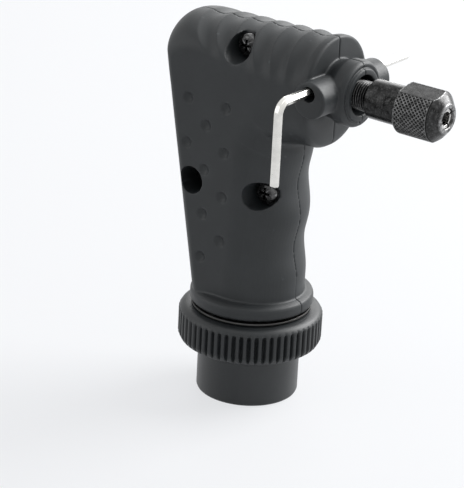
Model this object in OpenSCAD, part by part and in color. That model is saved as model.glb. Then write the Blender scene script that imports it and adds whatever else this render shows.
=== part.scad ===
// Right angle attachment for a hand-held rotary tool.
// Millimetres. The driver axis is +Z, with Z = 0 at the open end of the coupling nut.
// The output spindle points along +X, and the housing parts on the plane Y = 0.

/* [Coupling nut] */
// Radius of the smooth skirt
skirt_r = 12.7; // [12:0.1:14]
// Height of the smooth skirt
skirt_h = 12.7; // [11:0.1:15]
// Outer radius over the grip ribs
ring_r = 17.9; // [17:0.1:20]
// Height of the ribbed ring
ring_h = 9.8; // [8.5:0.1:12]
// Radius of the thread bore that screws on the tool's nose
nose_thread_r = 8.7; // [8:0.1:9.2]
// Depth of the thread bore
nose_thread_h = 12.2; // [9:0.1:12.4]
// Number of grip ribs
rib_count = 60; // [40:1:72]
// Depth of the grooves between ribs
rib_depth = 0.9; // [0.4:0.05:1.1]
// Height of the lip that holds the nut on the housing
nut_lip_h = 2.6; // [2:0.1:3]
// Height of the nut's land under the thrust washer
land_h = 0.35; // [0.2:0.05:0.5]
// Thickness of the thrust washer
washer_t = 0.5; // [0.3:0.05:0.6]
// Outer radius of the thrust washer
washer_r = 14.9; // [13:0.1:15.2]

/* [Grip] */
// Radius of the round foot of the housing
foot_r = 15.3; // [14:0.1:16]
// Height of the foot's bead
foot_h = 3.9; // [3:0.1:6]
// Radius of the grip's round front
grip_r = 12.55; // [12:0.05:13.4]
// Half width of the grip over its flat sides
grip_half_w = 12.5; // [12:0.1:13.2]
// Depth of the grip behind the driver axis, at the foot
grip_back = 13.2; // [11.6:0.1:13.8]
// Radius of the grip's rear corners
grip_corner_r = 5.6; // [3:0.1:7]
// Depth of the finger waves on the grip's front
finger_depth = 1.35; // [0.4:0.05:1.6]
// Spacing of the finger waves
finger_pitch = 16.4; // [12:0.1:20]
// Radius of the housing flange that holds the coupling nut
flange_r = 12; // [11.4:0.1:12.1]
// Thickness of that flange
flange_t = 2.2; // [1.6:0.1:2.8]
// Radius of the housing spigot inside the nut's lip
spigot_r = 9.8; // [9.4:0.1:10.4]
// Radius of the spigot's bore, where the tool's driver turns
spigot_bore_r = 7.3; // [7.2:0.1:7.6]

/* [Head] */
// Height of the spindle axis above the nut's open end
spindle_z = 83.9; // [82:0.1:90]
// Height of the head's top above the spindle axis, at its front
head_rise = 12.6; // [12:0.1:13.6]
// Depth of the head's underside below the spindle axis
head_drop = 15.1; // [14.8:0.1:17]
// Half width of the head at its front
head_half_w = 12; // [11.6:0.1:12.6]
// Depth of the head behind the driver axis, at the spindle's height
head_back = 23; // [21:0.1:26]
// Slope of the head's top, down towards its rear, in degrees
top_tilt = 2.4; // [0:0.2:4]
// Radius of the head's top rear corner
head_corner_r = 6; // [4:0.5:12]
// Distance from the driver axis to the head's front face
head_front = 21.3; // [21.1:0.1:22.4]
// Number of finger waves across the head's top
wave_count = 6; // [4:1:7]
// Depth of those waves
wave_depth = 0.4; // [0.2:0.05:0.7]

/* [Nose] */
// Outer radius of the collar round the spindle
collar_r = 8; // [7.6:0.1:8.8]
// Radius of the collar's waist, where it leaves the head
collar_root_r = 7.1; // [6.6:0.1:7.6]
// Length of the collar
collar_len = 7.65; // [6.6:0.05:8.4]
// Radius of the hole in the collar
collar_bore_r = 4.9; // [4.6:0.05:5.3]
// Radius of the cross bosses for the lock key
boss_r = 4.4; // [4:0.1:4.8]
// Distance from the parting plane to each boss's end
boss_reach = 13.5; // [13:0.1:15]
// Radius of the hole through the bosses
key_hole_r = 1.8; // [1.6:0.05:2]

/* [Lock key] */
// Width across the key's flats
key_af = 2; // [1.8:0.1:2.2]
// Length of the key's long arm
key_long = 51.5; // [46:0.5:56]
// Length of the key's short arm
key_short = 20; // [15:0.5:24]
// Radius of the key's bend, at its middle line
key_bend_r = 2.8; // [2.2:0.1:4]
// How far the key's tip stands past the parting plane
key_tip_y = 27; // [20:0.5:30]

/* [Bearings] */
// Radius of the bearings' bore
bearing_bore_r = 2.5; // [2.3:0.1:2.7]
// Outer radius of the bearings
bearing_r = 5.5; // [5.3:0.1:5.8]
// Width of the bearings
bearing_w = 4; // [3.6:0.1:4.4]
// Radius of the balls
ball_r = 0.95; // [0.85:0.05:1.05]
// Number of balls in each bearing
ball_count = 7; // [6:1:8]
// Height of the lower bearing above the nut's open end
low_bearing_z = 34; // [32.5:0.1:38]

/* [Gears] */
// Number of teeth on each bevel gear
teeth = 16; // [14:1:18]
// Tooth module at the large end
gear_module = 0.8; // [0.76:0.01:0.84]
// Width of the toothed faces
face_w = 3; // [2.4:0.1:3.4]
// Length of the gears' hubs
hub_len = 2.4; // [2:0.1:2.8]
// Radius of the gears' hubs
hub_r = 4.2; // [3.9:0.1:4.5]
// Radius of the cross pins in the hubs
gear_pin_r = 0.6; // [0.5:0.05:0.75]

/* [Input shaft] */
// Radius of the shaft between its bearings
input_mid_r = 3.1; // [2.9:0.1:3.4]
// Width across the flats of the square drive tang
tang_w = 3.2; // [2.8:0.1:3.6]
// Height of the tang's end above the nut's open end
tang_z = 13.5; // [12.5:0.5:16]
// Length of the square drive tang
tang_len = 10; // [8:0.5:12]

/* [Output spindle] */
// Outer radius of the spindle's thread
spindle_thread_r = 3.57; // [3.4:0.01:3.8]
// Length of the shoulder in front of the bearings
shoulder_t = 1.9; // [0.6:0.1:2.6]
// Radius of the turned neck under the lock key
neck_r = 1.3; // [1.1:0.05:1.6]
// Length of the thread inside the chuck body
thread_grip = 6.3; // [5.5:0.1:6.6]
// Length of the spacer between the output bearings
spacer_len = 1; // [0.8:0.1:1.4]

/* [Chuck] */
// Gap between the collar and the chuck body
chuck_gap = 2.9; // [1.5:0.1:3.6]
// Outer radius of the chuck body
chuck_r = 4.73; // [4.5:0.01:5.2]
// Length of the chuck body's smooth part
chuck_len = 8.7; // [8.5:0.1:11]
// Radius of the chuck body's front thread
chuck_thread_r = 4.3; // [4.1:0.05:4.4]
// Radius of the collet's bore, for a 3.2 mm shank
shank_r = 1.6; // [1.2:0.05:1.65]
// Width of the collet's slots
slot_w = 0.45; // [0.3:0.05:0.6]
// Outer radius of the collet nut
collet_nut_r = 6.11; // [5.8:0.01:6.6]
// Length of the collet nut behind its cone
collet_nut_len = 9.2; // [8.4:0.1:10]
// Length of the collet nut's front cone
nut_cone_len = 2.3; // [1.8:0.1:3]
// Width across the collet nut's two flats
nut_flats_w = 10.7; // [10:0.1:11.2]
// Radius of the collet nut's front face
nut_tip_r = 3.45; // [3.2:0.05:4]

/* [Screws and dimples] */
// Radius of the screw heads
screw_head_r = 2.75; // [2.4:0.05:3]
// Radius of the screws' shanks
screw_r = 1.4; // [1.2:0.05:1.5]
// Radius of the recesses over the screw heads
recess_r = 3.45; // [3.2:0.05:3.6]
// Depth of the screw heads' seats, from the parting plane
screw_seat_y = 5.2; // [5:0.1:6.4]
// Distance of the front grip screw in front of the driver axis
front_screw_x = 7.4; // [7:0.1:7.6]
// Distance of the rear grip screw behind the driver axis
rear_screw_x = 11; // [10:0.1:12]
// Height of the grip screws
grip_screw_z = 55.6; // [52:0.1:58]
// Height of the head screw above the spindle axis
head_screw_rise = 6.9; // [6.4:0.1:7.2]
// Height of the lowest dimple in the front column
dimple_z = 42.3; // [41:0.1:44]
// Spacing of the dimple columns and rows on the grip's sides
dimple_pitch = 5.65; // [5.4:0.05:5.8]
// Depth of the dimples
dimple_depth = 0.45; // [0.3:0.05:0.6]

/* [Clearances] */
// Running clearance of turning pieces
run_gap = 0.05; // [0.03:0.01:0.08]
// Clearance of the shafts in their bearings and gears
shaft_gap = 0.01; // [0.01:0.01:0.03]
// Clearance of pieces seated in the housing
seat_gap = 0.03; // [0.02:0.01:0.05]
// Gap between the housing's foot and the thrust washer
foot_gap = 0.6; // [0.4:0.05:0.8]

/* [Hidden] */

// How finely round surfaces are drawn
$fn = 64;
// A little more than a cut needs, so that it runs past a face
over = 0.5;

// Heights in the coupling nut
ring_top = skirt_h + ring_h;
washer_seat = ring_top + land_h;
land_r = washer_r - 0.8;
lip_z = washer_seat - nut_lip_h;
nut_end_gap = 0.25;
flange_top = lip_z - nut_end_gap;
flange_z = flange_top - flange_t;
lip_r = spigot_r + 0.25;
root_in = 2.6;
cavity_r = flange_r + 0.4;
rib_pitch = 2 * PI * ring_r / rib_count;
groove_r = rib_pitch * 0.42;

// Housing outline in the plane of the parting line
foot_z = washer_seat + washer_t + foot_gap;
foot_top = foot_z + foot_h;
head_top = spindle_z + head_rise;
head_under = spindle_z - head_drop;
lean = (head_back - grip_back) / (spindle_z - foot_top);
lean_angle = atan(lean);
top_slope = tan(top_tilt);
// Middle of the rear corner's arc, which touches the top line and the back line
corner_z = (head_top - head_corner_r / cos(top_tilt)
    - top_slope * (head_front + grip_back - lean * foot_top - head_corner_r / cos(lean_angle)))
    / (1 + top_slope * lean);
corner_x = head_corner_r / cos(lean_angle) - grip_back - lean * (corner_z - foot_top);
back_top_z = corner_z - head_corner_r * sin(lean_angle);
loft_z = foot_top - 0.5;
under_corner_r = 2.8;
inner_corner_r = 1.6;
edge_r = 0.8;
wall = 2.6;
rib_t = 1.5;
bays = 4;

// Distances from the gears' apex, the same on both axes
pitch_r = gear_module * teeth / 2;
gear_back = pitch_r + 1.4;
hub_back = gear_back + hub_len;
gear_tip_r = pitch_r + gear_module * cos(45);
chamber_r = gear_tip_r + 0.9;
shaft_end = pitch_r * 0.72;
pin_at = gear_back + hub_len / 2;

// Stations along the output spindle
front_bearing_x = hub_back + bearing_w + spacer_len;
shoulder_x = front_bearing_x + bearing_w;
neck_x = shoulder_x + shoulder_t;
neck_gap = 0.25;
key_corner_r = key_af / 2 / cos(30);
neck_len = 2 * (key_corner_r + neck_gap);
key_x = neck_x + neck_len / 2;
key_z = spindle_z + neck_r + key_af / 2 + run_gap;
key_corner_y = key_tip_y - key_long;
// The key lies high in its hole, and the bosses stand a little in front of it
key_hole_z = key_z - 0.6;
boss_x = key_x + 0.3;
boss_z = spindle_z + 0.3;
collar_front = head_front + collar_len;
chuck_x = collar_front + chuck_gap;
nut_x = chuck_x + chuck_len;
nut_cone_x = nut_x + collet_nut_len;
nut_tip_x = nut_cone_x + nut_cone_len;
thread_end = chuck_x + thread_grip;
nut_room = 2.1;
chuck_front = nut_cone_x - nut_room;

// Heights along the input shaft
top_bearing_z = spindle_z - hub_back - bearing_w;
tang_top = tang_z + tang_len;
circlip_t = 0.5;
circlip_z = low_bearing_z - circlip_t - 0.1;
tunnel_r = input_mid_r + 1;

// Bearing details
ball_circle_r = (bearing_bore_r + bearing_r) / 2;
race_gap = 0.04;
land = ball_r * 0.72;

// Screws run along Y; each entry is the place of one in the XZ plane
screw_head_h = 2;
screw_boss_y = screw_seat_y - 1.6;
shaft_r = bearing_bore_r - shaft_gap;
screw_reach = 7.5;
head_screw_x = -0.3;
SCREWS = [
    [front_screw_x, grip_screw_z],
    [-rear_screw_x, grip_screw_z],
    [head_screw_x, spindle_z + head_screw_rise]
];

// Dimples in staggered columns, from the front column to the rear one
dimple_x = -1.4;
DIMPLES = concat(
    [for (k = [0:3]) [dimple_x, dimple_z + 2 * k * dimple_pitch]],
    [for (k = [0:3]) [dimple_x - dimple_pitch, dimple_z + (2 * k - 1) * dimple_pitch]],
    [for (k = [2:3]) [dimple_x - 2 * dimple_pitch, dimple_z + 2 * k * dimple_pitch]]
);

function mix(a, b, t) = a + (b - a) * t;
function clamp01(t) = min(max(t, 0), 1);
function ease(t) = let(c = clamp01(t)) c * c * (3 - 2 * c);

// The rear edge of the grip leans back as it rises
function back_x(z) = -grip_back - lean * (z - foot_top);

// The front edge of the grip has soft waves for the fingers
wave_peak_z = foot_top + 0.3 * finger_pitch;
function front_x(z) = grip_r + finger_depth / 2 * cos(360 * max(z - wave_peak_z, 0) / finger_pitch);

// The head's top has finer scallops with a crest between each two, a quarter of one between rungs
wave_x0 = corner_x + 1.5;
wave_x1 = head_front - 2;
wave_pitch = (wave_x1 - wave_x0) / wave_count;
function top_dip(x) =
    x < wave_x0 || x > wave_x1 ? 0
    : wave_depth * abs(sin(180 * (x - wave_x0) / wave_pitch));
function top_z(x) = head_top - top_slope * (head_front - x) - top_dip(x);

// The head's underside, with a round lower front corner
function under_z(x) =
    let(d = x - head_front + under_corner_r)
    d <= 0 ? head_under
    : head_under + under_corner_r - sqrt(max(under_corner_r * under_corner_r - d * d, 0));

// Where the grip's front turns into the head's underside
turn_z = head_under - inner_corner_r;
turn_x = front_x(turn_z) + inner_corner_r;

// Top and bottom roundings never meet: half the front face's height less a little
head_round = min(head_half_w, (head_rise + head_drop - under_corner_r) / 2 - edge_r - 0.4);

// One rung crosses the housing from its front or under edge B to its rear or top edge A:
// [Bx, Bz, Ax, Az, rounding at B, rounding at A, half width]
grip_rungs = 18;
fan_rungs = 10;
grip_share_b = 0.93;
grip_share_a = 0.86;
GRIP = [for (i = [0:grip_rungs])
    let(
        zb = mix(loft_z, turn_z, grip_share_b * i / grip_rungs),
        za = mix(loft_z, back_top_z, grip_share_a * i / grip_rungs)
    )
    [front_x(zb), zb, back_x(za), za, front_x(zb), grip_corner_r, grip_half_w]
];
fan_z = mix(loft_z, back_top_z, grip_share_a);
fan_zb = mix(loft_z, turn_z, grip_share_b);
FAN = [for (i = [1:fan_rungs])
    let(
        t = i / fan_rungs,
        arc_t = (t - 0.2) / 0.8,
        angle = mix(180 + lean_angle, 90 + top_tilt, clamp01(arc_t)),
        za = mix(fan_z, back_top_z, t / 0.2),
        a = t < 0.2 ? [back_x(za), za]
            : [corner_x + head_corner_r * cos(angle), corner_z + head_corner_r * sin(angle)],
        zb = mix(fan_zb, turn_z, t / 0.6),
        turn = 90 * clamp01((t - 0.6) / 0.4),
        b = t < 0.6 ? [front_x(zb), zb]
            : [turn_x - inner_corner_r * cos(turn), turn_z + inner_corner_r * sin(turn)]
    )
    [b[0], b[1], a[0], a[1], mix(grip_r, head_round, ease(t)), mix(grip_corner_r, head_round, ease(t)),
     grip_half_w]
];
square_x = head_front - 3.8;
function under_x(x) = x > square_x ? x : mix(turn_x, square_x, (x - corner_x) / (square_x - corner_x));
function head_rung(x, inset) =
    [under_x(x), under_z(under_x(x)) + inset, x, top_z(x) - inset, head_round, head_round,
     mix(grip_half_w, head_half_w, ease((x - corner_x) / (head_front - corner_x))) - inset];
HEAD = concat(
    [head_rung(corner_x + 0.8, 0)],
    [for (k = [0:4 * wave_count]) head_rung(wave_x0 + k * wave_pitch / 4, 0)],
    [for (t = [0, 45, 90]) head_rung(head_front - edge_r * (1 - sin(t)), edge_r * (1 - cos(t)))]
);
RUNGS = concat(GRIP, FAN, HEAD);
arc_steps = 5;
per_rung = 2 * arc_steps + 2;
function rung_point(r, j) =
    let(
        at_b = j <= arc_steps,
        turn = 90 / arc_steps * (at_b ? j : per_rung - 1 - j),
        span = norm([r[2] - r[0], r[3] - r[1]]),
        from_b = at_b ? r[4] * (1 - cos(turn)) : span - r[5] * (1 - cos(turn)),
        s = from_b / span
    )
    [mix(r[0], r[2], s), -r[6] * sin(turn), mix(r[1], r[3], s)];

// Outer form of the right half, closed on the parting plane
module half_form() {
    last = len(RUNGS) - 1;
    quads = [for (i = [0:last - 1], j = [0:per_rung - 1])
        let(k = (j + 1) % per_rung)
        [i * per_rung + j, i * per_rung + k, (i + 1) * per_rung + k, (i + 1) * per_rung + j]
    ];
    polyhedron(
        points = [for (r = RUNGS, j = [0:per_rung - 1]) rung_point(r, j)],
        faces = concat(
            [for (q = quads) [q[0], q[1], q[2]]],
            [for (q = quads) [q[0], q[2], q[3]]],
            [[for (j = [per_rung - 1:-1:0]) j]],
            [[for (j = [0:per_rung - 1]) last * per_rung + j]]
        )
    );
}

// A revolved solid about the spindle axis, from a profile of [distance along X, radius]
module about_spindle(profile, angle = 360, start = 0) {
    translate([0, 0, spindle_z])
        rotate([0, 90, 0])
            rotate([0, 0, start])
                rotate_extrude(angle = angle)
                    polygon([for (p = profile) [p[1], p[0]]]);
}

module tube_x(x, len, r, bore) {
    translate([x, 0, spindle_z])
        rotate([0, 90, 0])
            difference() {
                cylinder(h = len, r = r);
                translate([0, 0, -over])
                    cylinder(h = len + 2 * over, r = bore);
            }
}

module rod_x(x, len, r) {
    translate([x, 0, spindle_z])
        rotate([0, 90, 0])
            cylinder(h = len, r = r);
}

// A rod along Y from y0 to y1, at a place in the XZ plane
module rod_y(place, y0, y1, r) {
    translate([place[0], y0, place[1]])
        rotate([-90, 0, 0])
            cylinder(h = y1 - y0, r = r);
}

// Round foot, spigot and flange of the right half
module half_foot() {
    rotate([0, 0, 180])
        rotate_extrude(angle = 180)
            polygon([
                [0, flange_z],
                [flange_r, flange_z],
                [flange_r, flange_top],
                [spigot_r, flange_top],
                [spigot_r, foot_z],
                [foot_r - 0.6, foot_z],
                [foot_r, foot_z + 0.6],
                [foot_r, foot_z + foot_h * 0.6],
                [foot_r - 0.3, foot_z + foot_h * 0.78],
                [foot_r - 1.2, foot_top - 0.4],
                [grip_r - root_in, foot_top + 0.9],
                [0, foot_top + 0.9]
            ]);
}

// Collar and cross boss of the right half
module half_nose() {
    about_spindle([
        [head_front - 3, 0],
        [head_front - 3, collar_root_r],
        [head_front + 1.2, collar_root_r],
        [head_front + 2.2, (collar_root_r + collar_r) / 2],
        [head_front + 3.4, collar_r],
        [collar_front - 1.5, collar_r],
        [collar_front - 0.8, collar_r - 0.35],
        [collar_front - 0.45, collar_r - 1],
        [collar_front - 0.85, collar_r - 1.3],
        [collar_front - 0.85, collar_r - 1.6],
        [collar_front, collar_r - 1.8],
        [collar_front, 0]
    ], 180, 180);
    rod_y([boss_x, boss_z], -boss_reach, 0, boss_r);
}

// What stays solid round each screw
module screw_bosses() {
    for (s = SCREWS) {
        rod_y(s, -grip_half_w, grip_half_w, screw_r + 1.6);
        for (side = [-1, 1])
            rod_y(s, side > 0 ? screw_boss_y : -grip_half_w, side > 0 ? grip_half_w : -screw_boss_y,
                    recess_r + 1.2);
    }
}

// Hollows of the grip between its cross ribs
module grip_hollows() {
    z0 = low_bearing_z + bearing_w + 2;
    z1 = top_bearing_z - 2;
    bay = (z1 - z0 - (bays - 1) * rib_t) / bays;
    difference() {
        for (i = [0:bays - 1])
            let(z = z0 + i * (bay + rib_t)) {
                translate([0, 0, z])
                    cylinder(h = bay, r = grip_r - wall);
                rotate([90, 0, 0])
                    linear_extrude(height = 2 * (grip_half_w - wall - 1), center = true)
                        polygon([
                            [-4, z],
                            [back_x(z) + wall, z],
                            [back_x(z + bay) + wall, z + bay],
                            [-4, z + bay]
                        ]);
            }
        screw_bosses();
    }
}

// Everything that the two halves leave open between them
module hollows() {
    // room for the tool's driver, shaft tunnel and bearing seats of the input
    translate([0, 0, flange_z - over])
        cylinder(h = low_bearing_z - 3 - flange_z + over, r = spigot_bore_r);
    translate([0, 0, flange_z - over])
        cylinder(h = spindle_z - hub_back - flange_z + over, r = tunnel_r);
    for (z = [low_bearing_z, top_bearing_z])
        translate([0, 0, z])
            cylinder(h = bearing_w, r = bearing_r + seat_gap);
    grip_hollows();
    // gear chamber
    translate([0, 0, spindle_z - hub_back])
        cylinder(h = hub_back - 2, r = chamber_r);
    rod_x(3, hub_back - 3, chamber_r);
    // bearing seats and collar bore of the output
    rod_x(hub_back - over, shoulder_x - hub_back + over, bearing_r - 1.2);
    for (x = [hub_back, front_bearing_x])
        rod_x(x, bearing_w, bearing_r + seat_gap);
    rod_x(shoulder_x, collar_front - shoulder_x + over, collar_bore_r);
    rod_y([key_x, key_hole_z], -boss_reach - over, boss_reach + over, key_hole_r);
}

module dimples(side) {
    ball = 2.4;
    for (d = DIMPLES)
        translate([d[0], side * (grip_half_w + ball - dimple_depth), d[1]])
            sphere(r = ball);
}

module housing_right() {
    color("#2b2d2f")
        difference() {
            union() {
                half_form();
                half_foot();
                half_nose();
            }
            hollows();
            dimples(-1);
            for (s = SCREWS) {
                rod_y(s, -grip_half_w - 1, -screw_seat_y, recess_r);
                rod_y(s, -screw_seat_y - over, over, screw_r + 0.15);
            }
        }
}

module housing_left() {
    color("#2e3032")
        difference() {
            mirror([0, 1, 0])
                union() {
                    half_form();
                    half_foot();
                    half_nose();
                }
            hollows();
            dimples(1);
            for (s = SCREWS)
                rod_y(s, -over, screw_reach + 0.5, screw_r + 0.05);
        }
}

module housing_screws() {
    color("#1b1b1c")
        for (s = SCREWS)
            difference() {
                union() {
                    rod_y(s, -screw_seat_y - screw_head_h, -screw_seat_y, screw_head_r);
                    rod_y(s, -screw_seat_y - over, screw_reach, screw_r);
                }
                // cross recess in the head
                for (a = [0, 90])
                    translate([s[0], -screw_seat_y - screw_head_h, s[1]])
                        rotate([0, a, 0])
                            cube([3, 2, 0.7], center = true);
            }
}

module coupling_nut() {
    color("#222325")
        difference() {
            rotate_extrude()
                polygon([
                    [nose_thread_r, 0],
                    [skirt_r - 0.5, 0],
                    [skirt_r, 0.6],
                    [skirt_r, skirt_h],
                    [ring_r - 2.2, skirt_h],
                    [ring_r - 0.6, skirt_h + 1],
                    [ring_r, skirt_h + 2.2],
                    [ring_r, ring_top - 1.5],
                    [ring_r - 0.8, ring_top - 0.4],
                    [ring_r - 1.7, ring_top],
                    [land_r, ring_top],
                    [land_r, washer_seat],
                    [lip_r, washer_seat],
                    [lip_r, lip_z],
                    [cavity_r, lip_z],
                    [cavity_r, nose_thread_h],
                    [nose_thread_r, nose_thread_h]
                ]);
            for (i = [0:rib_count - 1])
                rotate([0, 0, i * 360 / rib_count])
                    translate([ring_r - rib_depth + groove_r, 0, skirt_h - over])
                        cylinder(h = ring_h - 1.9 + over, r = groove_r, $fn = 16);
        }
}

module thrust_washer() {
    color("#6a6c6e")
        translate([0, 0, washer_seat])
            difference() {
                cylinder(h = washer_t, r = washer_r);
                translate([0, 0, -over])
                    cylinder(h = washer_t + 2 * over, r = lip_r + 0.1);
            }
}

module input_shaft() {
    color("#8d9094")
        difference() {
            union() {
                translate([-tang_w / 2, -tang_w / 2, tang_z])
                    cube([tang_w, tang_w, tang_len]);
                rotate_extrude()
                    polygon([
                        [0, tang_top],
                        [shaft_r - 0.4, tang_top],
                        [shaft_r, tang_top + 0.4],
                        [shaft_r, circlip_z - 0.03],
                        [shaft_r - 0.4, circlip_z - 0.03],
                        [shaft_r - 0.4, circlip_z + circlip_t + 0.03],
                        [shaft_r, circlip_z + circlip_t + 0.03],
                        [shaft_r, low_bearing_z + bearing_w],
                        [input_mid_r, low_bearing_z + bearing_w],
                        [input_mid_r, top_bearing_z],
                        [shaft_r, top_bearing_z],
                        [shaft_r, spindle_z - shaft_end],
                        [0, spindle_z - shaft_end]
                    ]);
            }
            rod_y([0, spindle_z - pin_at], -bearing_r, bearing_r, gear_pin_r + seat_gap);
        }
}

// Tooth form on the back cone, by the radii of a straight gear of the same pitch cone
pressure = 20;
virtual_r = pitch_r * sqrt(2);
virtual_teeth = teeth * sqrt(2);
base_r = virtual_r * cos(pressure);
root_r = virtual_r - 1.2 * gear_module;
tooth_slack = 0.35;
function involute(angle) = tan(angle) * 180 / PI - angle;
function half_tooth(r) =
    90 / virtual_teeth + involute(pressure) - involute(acos(min(base_r / r, 1))) - tooth_slack;
FLANK = [root_r, base_r, mix(base_r, virtual_r, 0.6), mix(virtual_r, virtual_r + gear_module, 0.4),
         virtual_r + gear_module];
// Point of the large end: apex at the origin, gear below it
function back_point(r, turn) =
    let(real_r = r / sqrt(2), azimuth = turn * sqrt(2))
    [real_r * cos(azimuth), real_r * sin(azimuth), real_r - 2 * pitch_r];
TOOTH = concat(
    [for (r = FLANK) [r, -half_tooth(r)]],
    [for (i = [len(FLANK) - 1:-1:0]) [FLANK[i], half_tooth(FLANK[i])]]
);
LARGE_END = [for (i = [0:teeth - 1], p = TOOTH)
    back_point(p[0], p[1] + i * 360 / teeth / sqrt(2))
];

// Mitre gear with its apex at the origin, its hub below and a tooth turned by phase from +X
module mitre_gear(phase) {
    n = len(LARGE_END);
    per = len(TOOTH);
    small = 1 - face_w / virtual_r;
    root_z = root_r / sqrt(2) - 2 * pitch_r;
    disc_r = root_r / sqrt(2) - 0.25;
    // the flat disc inside each end has a corner behind every tooth and every gap
    disc = [for (k = [0:2 * teeth - 1])
        [disc_r * cos(k * 180 / teeth), disc_r * sin(k * 180 / teeth), root_z]
    ];
    // faces of one end, from its toothed ring at index a to its disc at index d
    function end_faces(a, d) = concat(
        [for (i = [0:teeth - 1], k = [0:per - 2]) [d + 2 * i, a + i * per + k, a + i * per + k + 1]],
        [for (i = [0:teeth - 1]) [d + 2 * i, a + i * per + per - 1, d + 2 * i + 1]],
        [for (i = [0:teeth - 1]) [d + 2 * i + 1, a + i * per + per - 1, a + (i + 1) * per % n]],
        [for (i = [0:teeth - 1]) [d + 2 * i + 1, a + (i + 1) * per % n, d + (2 * i + 2) % (2 * teeth)]],
        [[for (k = [0:2 * teeth - 1]) d + k]]
    );
    function flipped(faces) = [for (f = faces) [for (k = [len(f) - 1:-1:0]) f[k]]];
    difference() {
        union() {
            rotate([0, 0, phase])
                polyhedron(
                    points = concat(
                        LARGE_END,
                        [for (p = LARGE_END) p * small],
                        disc,
                        [for (p = disc) p * small]
                    ),
                    faces = concat(
                        [for (i = [0:n - 1]) [i, n + i, n + (i + 1) % n]],
                        [for (i = [0:n - 1]) [i, n + (i + 1) % n, (i + 1) % n]],
                        end_faces(0, 2 * n),
                        flipped(end_faces(n, 2 * n + 2 * teeth))
                    )
                );
            translate([0, 0, -gear_back])
                cylinder(h = gear_back + root_z + face_w / 4, r = disc_r - 0.3);
            translate([0, 0, -hub_back])
                cylinder(h = hub_len + over, r = hub_r);
        }
        translate([0, 0, -hub_back - over])
            cylinder(h = hub_back + over, r = bearing_bore_r + seat_gap);
        rod_y([0, -pin_at], -2 * hub_r, 2 * hub_r, gear_pin_r + seat_gap);
    }
}

module input_gear() {
    color("#a08f5c")
        translate([0, 0, spindle_z])
            mitre_gear(0);
}

module output_gear() {
    color("#a08f5c")
        translate([0, 0, spindle_z])
            rotate([0, -90, 0])
                mitre_gear(180 + 180 / teeth);
}

module input_gear_pin() {
    color("silver")
        rod_y([0, spindle_z - pin_at], 0.3 - hub_r, hub_r - 0.3, gear_pin_r);
}

module output_gear_pin() {
    color("silver")
        rod_y([pin_at, spindle_z], 0.3 - hub_r, hub_r - 0.3, gear_pin_r);
}

module input_circlip() {
    color("#4a4c50")
        translate([0, 0, circlip_z])
            difference() {
                cylinder(h = circlip_t, r = bearing_bore_r + 0.9);
                translate([0, 0, -over])
                    cylinder(h = circlip_t + 2 * over, r = bearing_bore_r - 0.37);
                translate([0, -1.6, -over])
                    cube([bearing_r, 3.2, circlip_t + 2 * over]);
            }
}

// Ball bearing pieces, from Z = 0 to the bearing's width
module race(r0, r1) {
    rotate_extrude()
        difference() {
            translate([r0, 0])
                square([r1 - r0, bearing_w]);
            translate([ball_circle_r, bearing_w / 2])
                circle(r = ball_r + race_gap);
        }
}

module balls() {
    for (i = [0:ball_count - 1])
        rotate([0, 0, i * 360 / ball_count])
            translate([ball_circle_r, 0, bearing_w / 2])
                sphere(r = ball_r);
}

module cage() {
    difference() {
        translate([0, 0, bearing_w / 2 - ball_r - 0.35])
            difference() {
                cylinder(h = 2 * ball_r + 0.7, r = ball_circle_r + 0.35);
                translate([0, 0, -over])
                    cylinder(h = 2 * ball_r + 0.7 + 2 * over, r = ball_circle_r - 0.35);
            }
        for (i = [0:ball_count - 1])
            rotate([0, 0, i * 360 / ball_count])
                translate([ball_circle_r - 1, 0, bearing_w / 2])
                    rotate([0, 90, 0])
                        cylinder(h = 2, r = ball_r + race_gap);
    }
}

// Places a piece in both bearings of the input shaft, or of the spindle
module at_input_bearings() {
    for (z = [low_bearing_z, top_bearing_z])
        translate([0, 0, z])
            children();
}

module at_output_bearings() {
    for (x = [hub_back, front_bearing_x])
        translate([x, 0, spindle_z])
            rotate([0, 90, 0])
                children();
}

module input_bearing_outers() {
    color("#b9bcc0")
        at_input_bearings()
            race(ball_circle_r + land, bearing_r);
}

module input_bearing_inners() {
    color("#c6c9cc")
        at_input_bearings()
            race(bearing_bore_r, ball_circle_r - land);
}

module input_bearing_balls() {
    color("#dfe1e3")
        at_input_bearings()
            balls();
}

module input_bearing_cages() {
    color("#b08d57")
        at_input_bearings()
            cage();
}

module output_bearing_outers() {
    color("#b9bcc0")
        at_output_bearings()
            race(ball_circle_r + land, bearing_r);
}

module output_bearing_inners() {
    color("#c6c9cc")
        at_output_bearings()
            race(bearing_bore_r, ball_circle_r - land);
}

module output_bearing_balls() {
    color("#dfe1e3")
        at_output_bearings()
            balls();
}

module output_bearing_cages() {
    color("#b08d57")
        at_output_bearings()
            cage();
}

module output_shaft() {
    color("#55585c")
        difference() {
            about_spindle([
                [shaft_end, 0],
                [shaft_end, shaft_r],
                [shoulder_x, shaft_r],
                [shoulder_x, bearing_bore_r + 0.8],
                [neck_x, bearing_bore_r + 0.8],
                [neck_x, neck_r],
                [neck_x + neck_len, neck_r],
                [neck_x + neck_len, spindle_thread_r - 0.4],
                [neck_x + neck_len + 0.4, spindle_thread_r],
                [thread_end - 0.5, spindle_thread_r],
                [thread_end, spindle_thread_r - 0.5],
                [thread_end, 0]
            ]);
            rod_y([pin_at, spindle_z], -bearing_r, bearing_r, gear_pin_r + seat_gap);
        }
}

module output_spacer() {
    color("silver")
        tube_x(hub_back + bearing_w, spacer_len, bearing_bore_r + 0.8, bearing_bore_r + seat_gap);
}

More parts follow.
